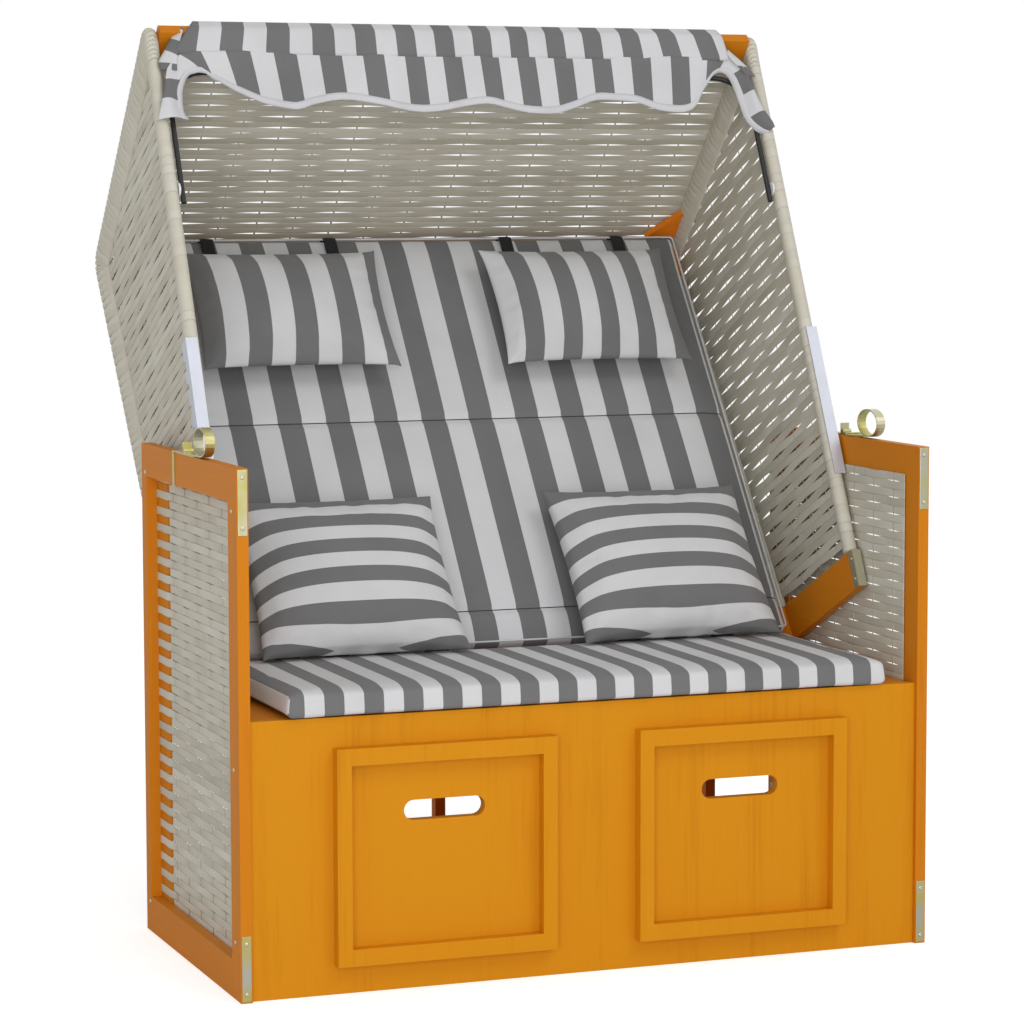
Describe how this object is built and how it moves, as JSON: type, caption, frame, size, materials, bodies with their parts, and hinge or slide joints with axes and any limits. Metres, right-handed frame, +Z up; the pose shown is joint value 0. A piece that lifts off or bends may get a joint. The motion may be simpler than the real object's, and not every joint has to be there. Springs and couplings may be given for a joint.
{
  "type": "hooded beach chair",
  "caption": "Two-seat hooded beach chair: wooden base with wicker sides and pull-out footrests, tilting wicker hood with awning, back cushion and pillows.",
  "frame": {"origin": "on the floor, under the middle of the whole chair's width and depth", "axes": "+Z up, the chair faces -Y, +X to the right seen from the front"},
  "size_m": [1.185, 1.0228, 1.5371],
  "materials": {
    "front_wood": "warm orange-brown stained wood, satin",
    "side_wood": "warm orange-brown stained wood, satin, a little darker",
    "wicker": "flat woven strips, warm light grey, matt",
    "fabric": "woven polyester in light and dark grey stripes",
    "zinc": "yellow zinc plated steel",
    "black_steel": "black coated steel rod",
    "white_plastic": "white moulded plastic"
  },
  "bodies": {
    "base": {"left_front_post": "side_wood", "left_rear_post": "side_wood", "left_top_rail": "side_wood", "left_bottom_rail": "side_wood", "left_side_wicker": "wicker", "left_side_lath": "side_wood", "right_front_post": "side_wood", "right_rear_post": "side_wood", "right_top_rail": "side_wood", "right_bottom_rail": "side_wood", "right_side_wicker": "wicker", "right_side_lath": "side_wood", "front_panel": "front_wood", "rear_top_rail": "side_wood", "rear_bottom_rail": "side_wood", "seat_deck": "side_wood", "front_guide_batten": "side_wood", "rear_guide_batten": "side_wood", "left_seat_bearer": "side_wood", "right_seat_bearer": "side_wood", "left_pivot_plate": "zinc", "right_pivot_plate": "zinc", "left_latch_bracket": "zinc", "right_latch_bracket": "zinc", "seat_cushion": "fabric"},
    "footrest_left": {"left_footrest_front": "front_wood", "left_footrest_top": "side_wood", "left_footrest_outer_frame": "side_wood", "left_footrest_inner_frame": "side_wood"},
    "footrest_right": {"right_footrest_front": "front_wood", "right_footrest_top": "side_wood", "right_footrest_outer_frame": "side_wood", "right_footrest_inner_frame": "side_wood"},
    "latch_left": {"left_latch_lever": "zinc"},
    "latch_right": {"right_latch_lever": "zinc"},
    "hood": {"hood_front_beam": "side_wood", "hood_roof": "wicker", "hood_back": "wicker", "hood_rear_beam": "side_wood", "hood_foot_beam": "side_wood", "back_support_rail": "side_wood", "left_hood_side": "wicker", "right_hood_side": "wicker", "left_hood_rail": "side_wood", "right_hood_rail": "side_wood", "left_hood_gusset": "side_wood", "right_hood_gusset": "side_wood", "left_latch_rack": "zinc", "right_latch_rack": "zinc", "left_awning_clip": "white_plastic", "right_awning_clip": "white_plastic", "awning_cloth": "fabric", "back_cushion": "fabric", "left_head_pillow": "fabric", "right_head_pillow": "fabric"},
    "awning": {"awning_bail": "black_steel", "awning_valance": "fabric"},
    "lumbar_left": {"left_lumbar_pillow": "fabric"},
    "lumbar_right": {"right_lumbar_pillow": "fabric"}
  },
  "joints": [
    {"name": "hood_tilt", "type": "hinge", "parent": "base", "child": "hood", "pos_m": [0, -0.04455, 0.4815], "axis": [1, 0, 0], "range_deg": [0, 25.8]},
    {"name": "awning_swing", "type": "hinge", "parent": "hood", "child": "awning", "pos_m": [0, 0.01164, 1.25027], "axis": [1, 0, 0], "range_deg": [0, 30]},
    {"name": "footrest_left_slide", "type": "slide", "parent": "base", "child": "footrest_left", "axis": [0, -1, 0], "range_m": [0, 0.4]},
    {"name": "footrest_right_slide", "type": "slide", "parent": "base", "child": "footrest_right", "axis": [0, -1, 0], "range_m": [0, 0.4]},
    {"name": "latch_left_lift", "type": "hinge", "parent": "base", "child": "latch_left", "pos_m": [-0.585, -0.20205, 0.8346], "axis": [-1, 0, 0], "range_deg": [0, 35]},
    {"name": "latch_right_lift", "type": "hinge", "parent": "base", "child": "latch_right", "pos_m": [0.585, -0.20205, 0.8346], "axis": [-1, 0, 0], "range_deg": [0, 35]},
    {"name": "lumbar_left_lean", "type": "hinge", "parent": "base", "child": "lumbar_left", "pos_m": [-0.283, -0.19055, 0.4828], "axis": [1, 0, 0], "range_deg": [0, 25.8]},
    {"name": "lumbar_right_lean", "type": "hinge", "parent": "base", "child": "lumbar_right", "pos_m": [0.283, -0.19055, 0.4828], "axis": [1, 0, 0], "range_deg": [0, 25.8]}
  ],
  "couplings": [
    {"joint": "lumbar_left_lean", "follows": "hood_tilt", "ratio": 1},
    {"joint": "lumbar_right_lean", "follows": "hood_tilt", "ratio": 1}
  ]
}
